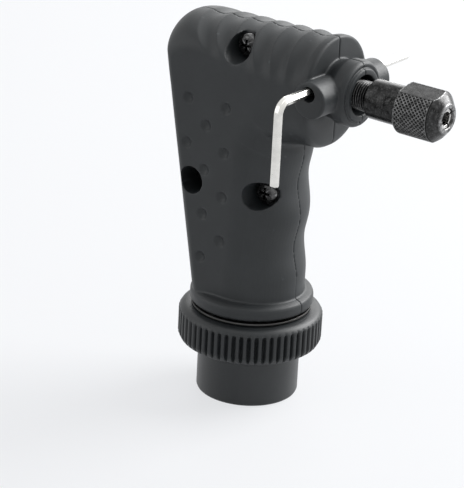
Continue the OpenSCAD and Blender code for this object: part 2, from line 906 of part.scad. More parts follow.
// Taper of the collet and its seat: [distance along X, radius]
seat_len = 5;
tail_len = 2;
seat_back = chuck_front - seat_len;
collet_back = seat_back - tail_len;
bore_back = collet_back - 1;
seat_small_r = shank_r + 0.75;
seat_large_r = seat_small_r + 0.85;
collet_front = nut_tip_x - 0.5;
collet_tip_r = seat_small_r;

module chuck_body() {
    color("#232426")
        about_spindle([
            [chuck_x, spindle_thread_r + seat_gap],
            [chuck_x, chuck_r - 0.3],
            [chuck_x + 0.3, chuck_r],
            [nut_x - 0.1, chuck_r],
            [nut_x - 0.1, chuck_thread_r],
            [chuck_front - 0.3, chuck_thread_r],
            [chuck_front, chuck_thread_r - 0.3],
            [chuck_front, seat_large_r + run_gap],
            [seat_back, seat_small_r + run_gap],
            [bore_back, seat_small_r + run_gap],
            [bore_back, shank_r + 0.2],
            [thread_end + 0.3, shank_r + 0.2],
            [thread_end + 0.3, spindle_thread_r + seat_gap]
        ]);
}

module collet() {
    color("#c9ccce")
        difference() {
            about_spindle([
                [collet_back, shank_r],
                [collet_back, seat_small_r],
                [seat_back, seat_small_r],
                [chuck_front, seat_large_r],
                [chuck_front + 0.7, seat_large_r],
                [collet_front - 0.5, collet_tip_r],
                [collet_front, collet_tip_r],
                [collet_front, shank_r]
            ]);
            for (a = [0, 90])
                translate([seat_back, 0, spindle_z])
                    rotate([a + 30, 0, 0])
                        translate([0, -slot_w / 2, -chuck_r])
                            cube([2 * collet_nut_len, slot_w, 2 * chuck_r]);
        }
}

module collet_nut() {
    gap = run_gap + 0.03;
    color("#252628")
        difference() {
            about_spindle([
                [nut_x, chuck_thread_r + run_gap],
                [nut_x, collet_nut_r - 0.4],
                [nut_x + 0.4, collet_nut_r],
                [nut_cone_x, collet_nut_r],
                [nut_tip_x, nut_tip_r],
                [nut_tip_x, collet_tip_r + gap],
                [collet_front - 0.5, collet_tip_r + gap],
                [chuck_front + 0.7, seat_large_r + gap],
                [chuck_front + 0.5, chuck_thread_r + run_gap]
            ]);
            for (side = [0, 180])
                translate([nut_x - over, 0, spindle_z])
                    rotate([side + 12, 0, 0])
                        translate([0, -collet_nut_r, nut_flats_w / 2])
                            cube([2 * collet_nut_len, 2 * collet_nut_r, collet_nut_r]);
        }
}

module key_section(turn) {
    rotate(turn)
        circle(r = key_corner_r, $fn = 6);
}

module lock_key() {
    arm_end = key_corner_y + key_bend_r;
    color("#d5d7d8") {
        translate([key_x, key_tip_y, key_z])
            rotate([90, 0, 0])
                linear_extrude(height = key_tip_y - arm_end)
                    key_section(0);
        translate([key_x, arm_end, key_z - key_bend_r])
            rotate(a = 180, v = [1, 0, 1])
                rotate_extrude(angle = 90)
                    translate([key_bend_r, 0])
                        key_section(90);
        translate([key_x, key_corner_y, key_z - key_short])
            linear_extrude(height = key_short - key_bend_r)
                key_section(0);
    }
}

housing_right();
housing_left();
housing_screws();
coupling_nut();
thrust_washer();
input_shaft();
input_gear();
input_gear_pin();
input_circlip();
input_bearing_outers();
input_bearing_inners();
input_bearing_balls();
input_bearing_cages();
output_shaft();
output_gear();
output_gear_pin();
output_spacer();
output_bearing_outers();
output_bearing_inners();
output_bearing_balls();
output_bearing_cages();
chuck_body();
collet();
collet_nut();
lock_key();
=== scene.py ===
import math

import bmesh
import bpy
from mathutils import Matrix, Vector


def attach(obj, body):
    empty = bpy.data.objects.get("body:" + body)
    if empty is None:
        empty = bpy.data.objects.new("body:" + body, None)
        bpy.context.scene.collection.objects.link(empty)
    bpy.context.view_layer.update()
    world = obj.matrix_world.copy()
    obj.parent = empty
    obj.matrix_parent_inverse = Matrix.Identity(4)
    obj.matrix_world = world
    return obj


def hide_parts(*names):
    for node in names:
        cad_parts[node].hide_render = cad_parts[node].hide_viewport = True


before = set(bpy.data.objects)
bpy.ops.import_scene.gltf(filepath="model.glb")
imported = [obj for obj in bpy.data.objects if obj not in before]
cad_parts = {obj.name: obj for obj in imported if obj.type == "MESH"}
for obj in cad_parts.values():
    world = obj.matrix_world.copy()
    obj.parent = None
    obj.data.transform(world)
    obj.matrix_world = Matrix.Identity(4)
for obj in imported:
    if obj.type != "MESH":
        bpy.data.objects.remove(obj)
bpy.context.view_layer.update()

MM = 0.001

# Sizes in millimetres and angles in radians, with the same names as in the part's source
skirt_r, skirt_h = 12.7, 12.7
ring_r, ring_h = 17.9, 9.8
nose_thread_r, nose_thread_h = 8.7, 12.2
rib_count = 60
nut_lip_h, land_h, washer_t, washer_r = 2.6, 0.35, 0.5, 14.9
foot_r, foot_h = 15.3, 3.9
grip_r, grip_half_w, grip_back, grip_corner_r = 12.55, 12.5, 13.2, 5.6
finger_depth, finger_pitch = 1.35, 16.4
flange_r, flange_t, spigot_r, spigot_bore_r = 12.0, 2.2, 9.8, 7.3
spindle_z, head_rise, head_drop = 83.9, 12.6, 15.1
head_half_w, head_back, head_corner_r, head_front = 12.0, 23.0, 6.0, 21.3
top_tilt = math.radians(2.4)
wave_count = 6
collar_r, collar_root_r, collar_len, collar_bore_r = 8.0, 7.1, 7.65, 4.9
boss_r, boss_reach, key_hole_r = 4.4, 13.5, 1.8
key_af, key_long, key_short, key_bend_r, key_tip_y = 2.0, 51.5, 20.0, 2.8, 27.0
bearing_bore_r, bearing_r, bearing_w, low_bearing_z = 2.5, 5.5, 4.0, 34.0
teeth, gear_module, hub_len, gear_pin_r, spacer_len = 16, 0.8, 2.4, 0.6, 1.0
input_mid_r = 3.1
spindle_thread_r, shoulder_t, neck_r, thread_grip = 3.57, 1.9, 1.3, 6.3
chuck_gap, chuck_r, chuck_len, chuck_thread_r = 2.9, 4.73, 8.7, 4.3
shank_r, slot_w = 1.6, 0.45
collet_nut_r, collet_nut_len, nut_cone_len, nut_flats_w, nut_tip_r = 6.11, 9.2, 2.3, 10.7, 3.45
nut_room, seat_len, tail_len = 2.1, 5.0, 2.0
screw_head_r, screw_r, recess_r = 2.75, 1.4, 3.45
screw_seat_y, screw_head_h, screw_reach = 5.2, 2.0, 7.5
front_screw_x, rear_screw_x, head_screw_x = 7.4, 11.0, -0.3
grip_screw_z, head_screw_rise = 55.6, 6.9
dimple_x, dimple_z, dimple_pitch = -1.4, 42.3, 5.65
run_gap, seat_gap, shaft_gap, foot_gap = 0.05, 0.03, 0.01, 0.6
nut_end_gap, neck_gap = 0.25, 0.25
over = 0.5  # how far a cutter reaches past what it cuts

# Derived sizes, as in the part's source
ring_top = skirt_h + ring_h
washer_seat = ring_top + land_h
land_r = washer_r - 0.8
lip_z = washer_seat - nut_lip_h
flange_top = lip_z - nut_end_gap
flange_z = flange_top - flange_t
lip_r = spigot_r + 0.25
cavity_r = flange_r + 0.4
foot_z = washer_seat + washer_t + foot_gap
foot_top = foot_z + foot_h
head_top = spindle_z + head_rise
head_under = spindle_z - head_drop
lean = (head_back - grip_back) / (spindle_z - foot_top)
lean_angle = math.atan(lean)
top_slope = math.tan(top_tilt)
corner_z = (head_top - head_corner_r / math.cos(top_tilt)
            - top_slope * (head_front + grip_back - lean * foot_top
                           - head_corner_r / math.cos(lean_angle))
            ) / (1 + top_slope * lean)
corner_x = head_corner_r / math.cos(lean_angle) - grip_back - lean * (corner_z - foot_top)
back_top_z = corner_z - head_corner_r * math.sin(lean_angle)
loft_z = foot_top - 0.5
under_corner_r, inner_corner_r, edge_r = 2.8, 1.6, 0.8
head_round = min(head_half_w, (head_rise + head_drop - under_corner_r) / 2 - edge_r - 0.4)
pitch_r = gear_module * teeth / 2
gear_back = pitch_r + 1.4
hub_back = gear_back + hub_len
chamber_r = pitch_r + gear_module * math.cos(math.pi / 4) + 0.9
shaft_end = pitch_r * 0.72
pin_at = gear_back + hub_len / 2
front_bearing_x = hub_back + bearing_w + spacer_len
shoulder_x = front_bearing_x + bearing_w
neck_x = shoulder_x + shoulder_t
shaft_r = bearing_bore_r - shaft_gap
key_corner_r = key_af / 2 / math.cos(math.radians(30))
neck_len = 2 * (key_corner_r + neck_gap)
key_x = neck_x + neck_len / 2
key_z = spindle_z + neck_r + key_af / 2 + run_gap
key_corner_y = key_tip_y - key_long
key_hole_z = key_z - 0.6
boss_x, boss_z = key_x + 0.3, spindle_z + 0.3
collar_front = head_front + collar_len
chuck_x = collar_front + chuck_gap
nut_x = chuck_x + chuck_len
nut_cone_x = nut_x + collet_nut_len
nut_tip_x = nut_cone_x + nut_cone_len
thread_end = chuck_x + thread_grip
chuck_front = nut_cone_x - nut_room
seat_back = chuck_front - seat_len
collet_back = seat_back - tail_len
collet_front = nut_tip_x - 0.5
seat_small, seat_large = shank_r + 0.75, shank_r + 1.6
top_bearing_z = spindle_z - hub_back - bearing_w
tunnel_r = input_mid_r + 1
SCREWS = [(front_screw_x, grip_screw_z), (-rear_screw_x, grip_screw_z),
          (head_screw_x, spindle_z + head_screw_rise)]
DIMPLES = [(dimple_x - column * dimple_pitch, dimple_z + row * dimple_pitch)
           for column, rows in enumerate(((0, 2, 4, 6), (-1, 1, 3, 5), (4, 6)))
           for row in rows]

# Threads, which are plain cylinders in the solids. Under a fine thread's crests lie the inside
# of its tube, by fine_core, and the surface of what carries it, by under_thread
fine_pitch, fine_depth, fine_core, under_thread = 0.635, 0.4, 0.6, 0.42
nose_pitch, nose_depth = 2.12, 0.75

# Moulded details, a little deeper than the plain solids have them
band_depth, band_side_depth = 0.6, 0.8
band_full, band_fade = 50, 38  # degrees down from the top
dimple_depth, dimple_ball_r = 0.8, 1.9
rib_groove_depth, rib_groove_share = 1.0, 0.7

# Camera, from circles and edges measured in the photograph
IMAGE_W, IMAGE_H = 464, 488
AZIMUTH, ELEVATION, ROLL = 36.541, 22.350, 2.947
TARGET = Vector((0.001749, -0.011570, 0.042236))
DISTANCE = 0.559993
FOCAL_PX = 2322.13
SENSOR_MM = 36.0


def mix(a, b, t):
    return a + (b - a) * t


def clamp01(t):
    return min(max(t, 0.0), 1.0)


def ease(t):
    c = clamp01(t)
    return c * c * (3 - 2 * c)


def link(name, data):
    obj = bpy.data.objects.new(name, data)
    bpy.context.scene.collection.objects.link(obj)
    return obj


def add_camera():
    az, el, roll = (math.radians(v) for v in (AZIMUTH, ELEVATION, ROLL))
    back = Vector((math.sin(az) * math.cos(el), -math.cos(az) * math.cos(el), math.sin(el)))
    right = Vector((math.cos(az), math.sin(az), 0.0))
    up = back.cross(right)
    r = right * math.cos(roll) + up * math.sin(roll)
    u = up * math.cos(roll) - right * math.sin(roll)
    data = bpy.data.cameras.new("camera")
    data.sensor_width = SENSOR_MM
    data.lens = FOCAL_PX / max(IMAGE_W, IMAGE_H) * SENSOR_MM
    data.clip_start, data.clip_end = 0.01, 20.0
    camera = link("camera", data)
    camera.matrix_world = Matrix((
        (r.x, u.x, back.x, 0), (r.y, u.y, back.y, 0), (r.z, u.z, back.z, 0), (0, 0, 0, 1)))
    camera.matrix_world.translation = TARGET + back * DISTANCE
    bpy.context.scene.camera = camera


# Mesh helpers. What they are given is in millimetres, and to_object makes metres of it

def from_bmesh(name, bm):
    """A new object from a bmesh, which is used up."""
    mesh = bpy.data.meshes.new(name)
    bm.to_mesh(mesh)
    bm.free()
    return link(name, mesh)


def shade(obj, smooth_angle):
    """Smooth shading, sharp only at edges past the angle."""
    obj.data.shade_smooth()
    obj.data.set_sharp_from_angle(angle=math.radians(smooth_angle))


def to_object(name, bm, smooth_angle=35):
    """A cleaned and shaded object from a bmesh in millimetres."""
    bmesh.ops.remove_doubles(bm, verts=bm.verts, dist=1e-5)
    bmesh.ops.dissolve_degenerate(bm, edges=bm.edges, dist=1e-6)
    bmesh.ops.recalc_face_normals(bm, faces=bm.faces)
    bmesh.ops.scale(bm, vec=(MM, MM, MM), verts=bm.verts)
    obj = from_bmesh(name, bm)
    shade(obj, smooth_angle)
    return obj


def discard(obj):
    mesh = obj.data
    bpy.data.objects.remove(obj)
    bpy.data.meshes.remove(mesh)


def bake(obj):
    """Applies the object's modifiers."""
    bpy.context.view_layer.update()
    graph = bpy.context.evaluated_depsgraph_get()
    old = obj.data
    obj.data = bpy.data.meshes.new_from_object(obj.evaluated_get(graph))
    obj.modifiers.clear()
    bpy.data.meshes.remove(old)


def combine(obj, others, operation="DIFFERENCE"):
    """Cuts or joins other closed objects, which are used up."""
    for other in others:
        step = obj.modifiers.new("combine", "BOOLEAN")
        step.operation = operation
        step.solver = "MANIFOLD"
        step.object = other
    bake(obj)
    for other in others:
        discard(other)


def merge(name, objects):
    """Joins the meshes of several objects, which are used up, in a new one."""
    bm = bmesh.new()
    for obj in objects:
        bm.from_mesh(obj.data)
        discard(obj)
    return from_bmesh(name, bm)


def ring_faces(bm, rings, wrap=True):
    """Joins rows of points by faces; with wrap each row is a closed ring."""
    for low, high in zip(rings, rings[1:]):
        n = len(low)
        for i in range(n if wrap else n - 1):
            k = (i + 1) % n
            bm.faces.new((low[i], low[k], high[k], high[i]))


def cap(bm, rings):
    """Closes the first and the last row."""
    bm.faces.new(rings[0])
    bm.faces.new(rings[-1])


def circle(bm, steps, point):
    """A closed row of new points, where point(angle) gives each."""
    return [bm.verts.new(point(2 * math.pi * i / steps)) for i in range(steps)]


def rings_along_y(bm, x, z, rows, steps):
    """Circles round an axis along Y, from [y, radius] pairs."""
    return [circle(bm, steps, lambda turn: (x + r * math.cos(turn), y, z + r * math.sin(turn)))
            for y, r in rows]


def polar(axis, along, r, angle):
    """A point at a radius and an angle about the driver axis Z or the spindle axis X."""
    a, b = r * math.cos(angle), r * math.sin(angle)
    return (a, b, along) if axis == "Z" else (along, a, spindle_z + b)


def on_line(a, b, count):
    """Evenly spaced points from a up to b, without b itself."""
    return [(mix(a[0], b[0], k / count), mix(a[1], b[1], k / count)) for k in range(count)]


def soften(points, radius, closed):
    """Rounds the corners of an outline of [along, radius] points."""
    steps, longest, nearly_straight = 4, 0.49, math.radians(172)
    out = []
    n = len(points)
    for i, p in enumerate(points):
        if not closed and i in (0, n - 1):
            out.append(tuple(p))
            continue
        p = Vector(p)
        a, b = Vector(points[i - 1]) - p, Vector(points[(i + 1) % n]) - p
        turn = a.angle(b, math.pi)
        if turn > nearly_straight:
            out.append(tuple(p))
            continue
        reach = min(radius / math.tan(turn / 2), a.length * longest, b.length * longest)
        start, end = p + a.normalized() * reach, p + b.normalized() * reach
        for k in range(steps + 1):
            t = k / steps
            out.append(tuple(start * (1 - t) ** 2 + p * 2 * t * (1 - t) + end * t * t))
    return out


def lathe(name, profile, axis, steps, radius=0.0, closed=True, bend=None, smooth_angle=35,
          sweep=(0.0, 360.0)):
    """A turned piece from [along, radius] points; bend(along, radius, angle) changes a radius.

    A profile with a sweep of less than a full turn isn't closed.
    """
    outline = soften(profile, radius, closed) if radius else profile
    full = sweep[1] - sweep[0] >= 360
    bm = bmesh.new()
    rings = []
    for along, r in outline:
        ring = []
        for i in range(steps if full else steps + 1):
            angle = math.radians(mix(*sweep, i / steps))
            bent = bend(along, r, angle) if bend else r
            ring.append(bm.verts.new(polar(axis, along, bent, angle)))
        rings.append(ring)
    if closed:
        rings.append(rings[0])
    ring_faces(bm, rings, full)
    if not full:
        for end in (0, -1):
            bm.faces.new([ring[end] for ring in rings])
    return to_object(name, bm, smooth_angle)


def rod(x, z, y0, y1, r, steps=48, chamfer=0.0):
    """A rod along Y."""
    rows = [(y0, r), (y1, r)]
    if chamfer:
        rows = [(y0, r - chamfer), (y0 + chamfer, r), (y1 - chamfer, r), (y1, r - chamfer)]
    bm = bmesh.new()
    rings = rings_along_y(bm, x, z, rows, steps)
    ring_faces(bm, rings)
    cap(bm, rings)
    return to_object("rod", bm)


def drum(axis, a0, a1, r):
    """A plain cylinder along the driver or the spindle axis, used as a cutter."""
    return lathe("drum", [(a0, 0.0), (a0, r), (a1, r), (a1, 0.0)], axis, steps=72, closed=False)


def box(lo, hi):
    bm = bmesh.new()
    bmesh.ops.create_cube(bm, size=1.0)
    for v in bm.verts:
        v.co = Vector([mix(lo[i], hi[i], v.co[i] + 0.5) for i in range(3)])
    return to_object("box", bm)


def ball(x, y, z, r):
    bm = bmesh.new()
    bmesh.ops.create_icosphere(bm, subdivisions=4, radius=r)
    bmesh.ops.translate(bm, vec=(x, y, z), verts=bm.verts)
    return to_object("ball", bm)


# Housing

def back_x(z):
    return -grip_back - lean * (z - foot_top)


wave_peak_z = foot_top + 0.3 * finger_pitch


def front_x(z):
    """The finger waves of the grip's front."""
    phase = 2 * math.pi * max(z - wave_peak_z, 0) / finger_pitch
    return grip_r + finger_depth / 2 * math.cos(phase)


wave_x0, wave_x1 = corner_x + 1.5, head_front - 2
wave_pitch = (wave_x1 - wave_x0) / wave_count


def top_dip(x):
    """The scalloped bands of the head's top."""
    if x < wave_x0 or x > wave_x1:
        return 0.0
    return band_depth * abs(math.sin(math.pi * (x - wave_x0) / wave_pitch))


def top_z(x):
    return head_top - top_slope * (head_front - x) - top_dip(x)


def under_z(x):
    d = x - head_front + under_corner_r
    if d <= 0:
        return head_under
    return head_under + under_corner_r - math.sqrt(max(under_corner_r ** 2 - d * d, 0))


turn_z = head_under - inner_corner_r
turn_x = front_x(turn_z) + inner_corner_r
square_x = head_front - 3.8
grip_share_b, grip_share_a = 0.93, 0.86


def under_x(x):
    return x if x > square_x else mix(turn_x, square_x, (x - corner_x) / (square_x - corner_x))


def head_rung(x, inset):
    """A section of the head, like those of rungs; inset draws it in at the front edge."""
    half = mix(grip_half_w, head_half_w, ease((x - corner_x) / (head_front - corner_x)))
    return (under_x(x), under_z(under_x(x)) + inset, x, top_z(x) - inset,
            head_round, head_round, half - inset, top_dip(x) / band_depth * band_side_depth)


def rungs(fineness):
    """Sections of the right half from the foot to the head's front face.

    Each has its front or lower point b, its rear or upper point a, the corner lengths at b
    and a, its half width and how deep a band is on its side.
    """
    grip_rungs, fan_rungs, band_rungs, edge_rungs = 18, 10, 4, 2
    straight_a, straight_b = 0.2, 0.6
    out = []
    n = grip_rungs * fineness
    for i in range(n + 1):
        zb = mix(loft_z, turn_z, grip_share_b * i / n)
        za = mix(loft_z, back_top_z, grip_share_a * i / n)
        out.append((front_x(zb), zb, back_x(za), za, front_x(zb), grip_corner_r,
                    grip_half_w, 0.0))
    fan_z = mix(loft_z, back_top_z, grip_share_a)
    fan_zb = mix(loft_z, turn_z, grip_share_b)
    n = fan_rungs * fineness
    for i in range(1, n + 1):
        t = i / n
        angle = mix(math.pi + lean_angle, math.pi / 2 + top_tilt,
                    clamp01((t - straight_a) / (1 - straight_a)))
        za = mix(fan_z, back_top_z, t / straight_a)
        a = (back_x(za), za) if t < straight_a else (
            corner_x + head_corner_r * math.cos(angle), corner_z + head_corner_r * math.sin(angle))
        zb = mix(fan_zb, turn_z, t / straight_b)
        turn = math.pi / 2 * clamp01((t - straight_b) / (1 - straight_b))
        b = (front_x(zb), zb) if t < straight_b else (
            turn_x - inner_corner_r * math.cos(turn), turn_z + inner_corner_r * math.sin(turn))
        out.append((*b, *a, mix(grip_r, head_round, ease(t)),
                    mix(grip_corner_r, head_round, ease(t)), grip_half_w, 0.0))
    out.append(head_rung(corner_x + 0.8, 0))
    n = band_rungs * wave_count * fineness
    for k in range(n + 1):
        out.append(head_rung(wave_x0 + (wave_x1 - wave_x0) * k / n, 0))
    n = edge_rungs * fineness
    for k in range(n + 1):
        t = math.pi / 2 * k / n
        out.append(head_rung(head_front - edge_r * (1 - math.sin(t)), edge_r * (1 - math.cos(t))))
    return out


def rung_points(rung, arc_steps):
    """Points of a section, from b round the side to a."""
    xb, zb, xa, za, corner_b, corner_a, half, side_dip = rung
    span = math.hypot(xa - xb, za - zb)
    points = []
    for j in range(2 * arc_steps + 2):
        at_b = j <= arc_steps
        turn = math.pi / 2 / arc_steps * (j if at_b else 2 * arc_steps + 1 - j)
        inset = 1 - math.cos(turn)
        s = (corner_b * inset if at_b else span - corner_a * inset) / span
        from_top = 90 if at_b else math.degrees(turn)
        dip = side_dip * (1 - ease((from_top - band_full) / band_fade))
        points.append((mix(xb, xa, s), (dip - half) * math.sin(turn), mix(zb, za, s)))
    return points


def half_outside():
    """The right half's outside, closed on the parting plane."""
    fineness, arc_steps = ((4, 20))
    bm = bmesh.new()
    rings = [[bm.verts.new(p) for p in rung_points(rung, arc_steps)] for rung in rungs(fineness)]
    ring_faces(bm, rings)
    cap(bm, rings)
    body = to_object("half", bm)
    foot = lathe("foot", [
        (flange_z, 0.0), (flange_z, flange_r), (flange_top, flange_r), (flange_top, spigot_r),
        (foot_z, spigot_r), (foot_z, foot_r - 0.5), (foot_z + 0.5, foot_r),
        (foot_z + foot_h * 0.6, foot_r), (foot_z + foot_h * 0.78, foot_r - 0.3),
        (foot_top - 0.4, foot_r - 1.2), (foot_top + 0.9, grip_r - 2.6), (foot_top + 0.9, 0.0)],
        "Z", steps=96, radius=0.4, closed=False, sweep=(180.0, 360.0))
    nose = lathe("nose", [
        (head_front - 3, 0.0), (head_front - 3, collar_root_r), (head_front + 1.2, collar_root_r),
        (head_front + 2.2, (collar_root_r + collar_r) / 2), (head_front + 3.4, collar_r),
        (collar_front - 1.5, collar_r), (collar_front - 0.8, collar_r - 0.35),
        (collar_front - 0.45, collar_r - 1), (collar_front - 0.85, collar_r - 1.3),
        (collar_front - 0.85, collar_r - 1.6), (collar_front, collar_r - 1.8), (collar_front, 0.0)],
        "X", steps=96, radius=0.2, closed=False, sweep=(90.0, 270.0))
    boss = rod(boss_x, boss_z, -boss_reach, 1.0, boss_r, steps=64, chamfer=0.35)
    combine(body, [foot, nose, boss], "UNION")
    return body


def half_hollows():
    """Cutters for everything that the two halves leave open between them."""
    cutters = [
        drum("Z", flange_z - over, low_bearing_z - 3, spigot_bore_r),
        drum("Z", flange_z - over, spindle_z - hub_back, tunnel_r),
        drum("Z", spindle_z - hub_back, spindle_z - 2, chamber_r),
        drum("X", 3.0, hub_back, chamber_r),
        drum("X", hub_back - over, shoulder_x, bearing_r - 1.2),
        drum("X", shoulder_x, collar_front + over, collar_bore_r),
        rod(key_x, key_hole_z, -boss_reach - over, boss_reach + over, key_hole_r)]
    for axis, along in (("Z", low_bearing_z), ("Z", top_bearing_z),
                        ("X", hub_back), ("X", front_bearing_x)):
        cutters.append(drum(axis, along, along + bearing_w, bearing_r + seat_gap))
    return cutters


def round_edges(obj):
    """Takes the sharpness off all edges, as a mould does, with an even fine mesh."""
    remesh = obj.modifiers.new("remesh", "REMESH")
    remesh.mode = "VOXEL"
    remesh.voxel_size = 0.24 * MM
    remesh.use_smooth_shade = True
    soft = obj.modifiers.new("soft", "SMOOTH")
    soft.factor, soft.iterations = 0.5, 3
    thin = obj.modifiers.new("thin", "DECIMATE")
    thin.ratio = 0.35
    bake(obj)
    shade(obj, 60)


def make_housing():
    """Both halves, one the mirror image of the other but for the screws' wells and posts."""
    right = half_outside()
    left = link("half", right.data.copy())
    left.data.transform(Matrix.Scale(-1, 4, (0, 1, 0)))
    left.data.flip_normals()
    for obj, side, name in ((right, -1, "moulded_half_right"), (left, 1, "moulded_half_left")):
        cutters = half_hollows()
        dimple_y = side * (grip_half_w + dimple_ball_r - dimple_depth)
        cutters += [ball(x, dimple_y, z, dimple_ball_r) for x, z in DIMPLES]
        for x, z in SCREWS:
            if side < 0:
                cutters.append(rod(x, z, -grip_half_w - 1, -screw_seat_y, recess_r))
                cutters.append(rod(x, z, -screw_seat_y - over, over, screw_r + 0.15))
            else:
                cutters.append(rod(x, z, -over, screw_reach + over, screw_r + 0.05))
        combine(obj, cutters)
        round_edges(obj)
        obj.name = name
    return right, left


def make_screw(x, z):
    """A screw along Y, with a cross recess in its head."""
    top = -screw_seat_y - screw_head_h
    cross_long, cross_wide, cross_deep = 1.5, 0.36, 1.0
    rows = [(screw_reach, 0.0), (screw_reach, screw_r - 0.3), (screw_reach - 0.3, screw_r),
            (-screw_seat_y, screw_r), (-screw_seat_y, screw_head_r - 0.15),
            (-screw_seat_y - 0.15, screw_head_r), (top + 0.9, screw_head_r),
            (top + 0.4, screw_head_r - 0.25), (top + 0.1, screw_head_r - 0.8),
            (top, screw_head_r - 1.5), (top, 0.0)]
    bm = bmesh.new()
    ring_faces(bm, rings_along_y(bm, x, z, rows, steps=48))
    screw = to_object("screw", bm)
    combine(screw, [box((x - a, top - cross_deep, z - b), (x + a, top + cross_deep, z + b))
                    for a, b in ((cross_long, cross_wide), (cross_wide, cross_long))])
    shade(screw, 40)
    return screw


# Coupling nut

def make_coupling():
    """The nut, with its skirt and its grooved grip ring, and the thread in its bore."""
    pitch = 2 * math.pi / rib_count
    groove_top, groove_fade = ring_top - 1.2, 0.9
    thread_wall, row_step, steps_per_rib = 0.9, 0.45, 16

    def ribbed(z, r, angle):
        if r < skirt_r + 1 or z < skirt_h or z > groove_top:
            return r
        off = abs((angle + pitch / 2) % pitch - pitch / 2) / (pitch / 2)
        wave = (1 + math.cos(math.pi * min(off / rib_groove_share, 1))) / 2
        fade = ease((groove_top - z) / groove_fade)
        return min(r, mix(r, ring_r - rib_groove_depth * wave, fade))

    ring = [(skirt_h, ring_r - 2.2), (skirt_h + 1.0, ring_r - 0.6), (skirt_h + 2.2, ring_r),
            (ring_top - 1.5, ring_r), (ring_top - 0.8, ring_r - 0.45),
            (ring_top - 0.35, ring_r - 0.95), (ring_top, ring_r - 1.9)]
    fine = []
    for a, b in zip(ring, ring[1:]):
        fine += on_line(a, b, max(2, round(math.dist(a, b) / row_step)))
    skirt = [(0.0, nose_thread_r + thread_wall), (0.0, skirt_r - 0.5), (0.15, skirt_r - 0.2),
             (0.6, skirt_r), (skirt_h - 0.4, skirt_r), (skirt_h, skirt_r + 0.2)]
    inside = [(ring_top, land_r), (washer_seat, land_r), (washer_seat, lip_r), (lip_z, lip_r),
              (lip_z, cavity_r), (nose_thread_h, cavity_r),
              (nose_thread_h, nose_thread_r + thread_wall)]
    nut = lathe("ribbed_coupling_nut", skirt + fine + [ring[-1]] + inside, "Z",
                steps=rib_count * steps_per_rib, bend=ribbed, smooth_angle=40)
    thread = thread_tube("coupling_nut_thread", "Z", 0.05, nose_thread_h - 0.05, nose_thread_r,
                         nose_depth, nose_pitch, nose_thread_r + thread_wall + 0.01)
    return nut, thread


def thread_tube(name, axis, start, end, crest, depth, pitch, wall):
    """A screw thread as a skewed grid, so that its crests run along the mesh's edges.

    It is cut inside a tube where the radius of its plain side, wall, is more than the crest's,
    and else on the outside of one.
    """
    columns, per_turn = 96, 10
    flank_gain, crest_flat, run_out = 1.35, 0.18, 1.5
    side = 1 if wall > crest else -1
    root = crest + side * depth
    rows = math.ceil((end - start) / pitch * per_turn) + 2 * per_turn
    bm = bmesh.new()
    grid = {}

    def vert(j, i):
        turns, i = divmod(i, columns)
        j += turns * per_turn
        if (j, i) not in grid:
            along = start + ((j + i / columns * per_turn) / per_turn - 1) * pitch
            phase = j % per_turn / per_turn
            slope = clamp01(abs(phase - 0.5) * 2 * flank_gain - crest_flat)
            fade = ease(min(along - start, end - along) / pitch * run_out)
            r = mix(root, crest + side * depth * slope, fade)
            at = min(max(along, start), end)
            grid[(j, i)] = bm.verts.new(polar(axis, at, r, 2 * math.pi * i / columns))
        return grid[(j, i)]

    for j in range(rows):
        for i in range(columns):
            corners = [vert(j, i), vert(j, i + 1), vert(j + 1, i + 1), vert(j + 1, i)]
            if len({tuple(round(c, 6) for c in v.co) for v in corners}) > 2:
                bm.faces.new(corners)
    bmesh.ops.remove_doubles(bm, verts=bm.verts, dist=1e-4)
    loose = [v for v in bm.verts if not v.link_faces]
    bmesh.ops.delete(bm, geom=loose, context="VERTS")
    rims = []
    for along in (start, end):
        ring = circle(bm, columns, lambda turn: polar(axis, along, root, turn))
        rims.append(circle(bm, columns, lambda turn: polar(axis, along, wall, turn)))
        ring_faces(bm, [ring, rims[-1]])
    ring_faces(bm, rims)
    return to_object(name, bm, 50)


# Spindle, chuck and collet

def make_spindle():
    """The output shaft with its shoulder, its neck and its gear's cross hole, and the thread."""
    shoulder_r = bearing_bore_r + 0.8
    core_r = spindle_thread_r - under_thread
    neck_end = neck_x + neck_len
    shaft = lathe("spindle_core", [
        (shaft_end, 0.0), (shaft_end, shaft_r - 0.2), (shaft_end + 0.2, shaft_r),
        (shoulder_x, shaft_r), (shoulder_x, shoulder_r), (neck_x, shoulder_r), (neck_x, neck_r),
        (neck_end, neck_r), (neck_end, core_r), (thread_end, core_r), (thread_end, 0.0)],
        "X", steps=72, closed=False)
    combine(shaft, [rod(pin_at, spindle_z, -bearing_r, bearing_r, gear_pin_r + seat_gap)])
    shade(shaft, 35)
    thread = thread_tube("spindle_thread", "X", neck_end + 0.02, thread_end - 0.02,
                         spindle_thread_r, fine_depth, fine_pitch, spindle_thread_r - fine_core)
    return merge("threaded_spindle", [shaft, thread])


def make_chuck():
    """The chuck's body with its front thread."""
    spindle_hole_r, shank_hole_r = spindle_thread_r + seat_gap, shank_r + 0.2
    cone_small, cone_large = seat_small + run_gap, seat_large + run_gap
    core_r = chuck_thread_r - under_thread
    outside = lathe("chuck_shell", [
        (chuck_x, spindle_hole_r), (chuck_x, chuck_r - 0.35), (chuck_x + 0.35, chuck_r),
        (nut_x - 0.1, chuck_r), (nut_x - 0.1, core_r), (chuck_front - 0.4, core_r),
        (chuck_front, chuck_thread_r - 0.8), (chuck_front, cone_large), (seat_back, cone_small),
        (collet_back - 1, cone_small), (collet_back - 1, shank_hole_r),
        (thread_end + 0.3, shank_hole_r), (thread_end + 0.3, spindle_hole_r)],
        "X", steps=128, radius=0.1)
    thread = thread_tube("chuck_thread", "X", nut_x - 0.05, chuck_front - 0.45,
                         chuck_thread_r, fine_depth, fine_pitch, chuck_thread_r - fine_core)
    return merge("black_chuck_body", [outside, thread])


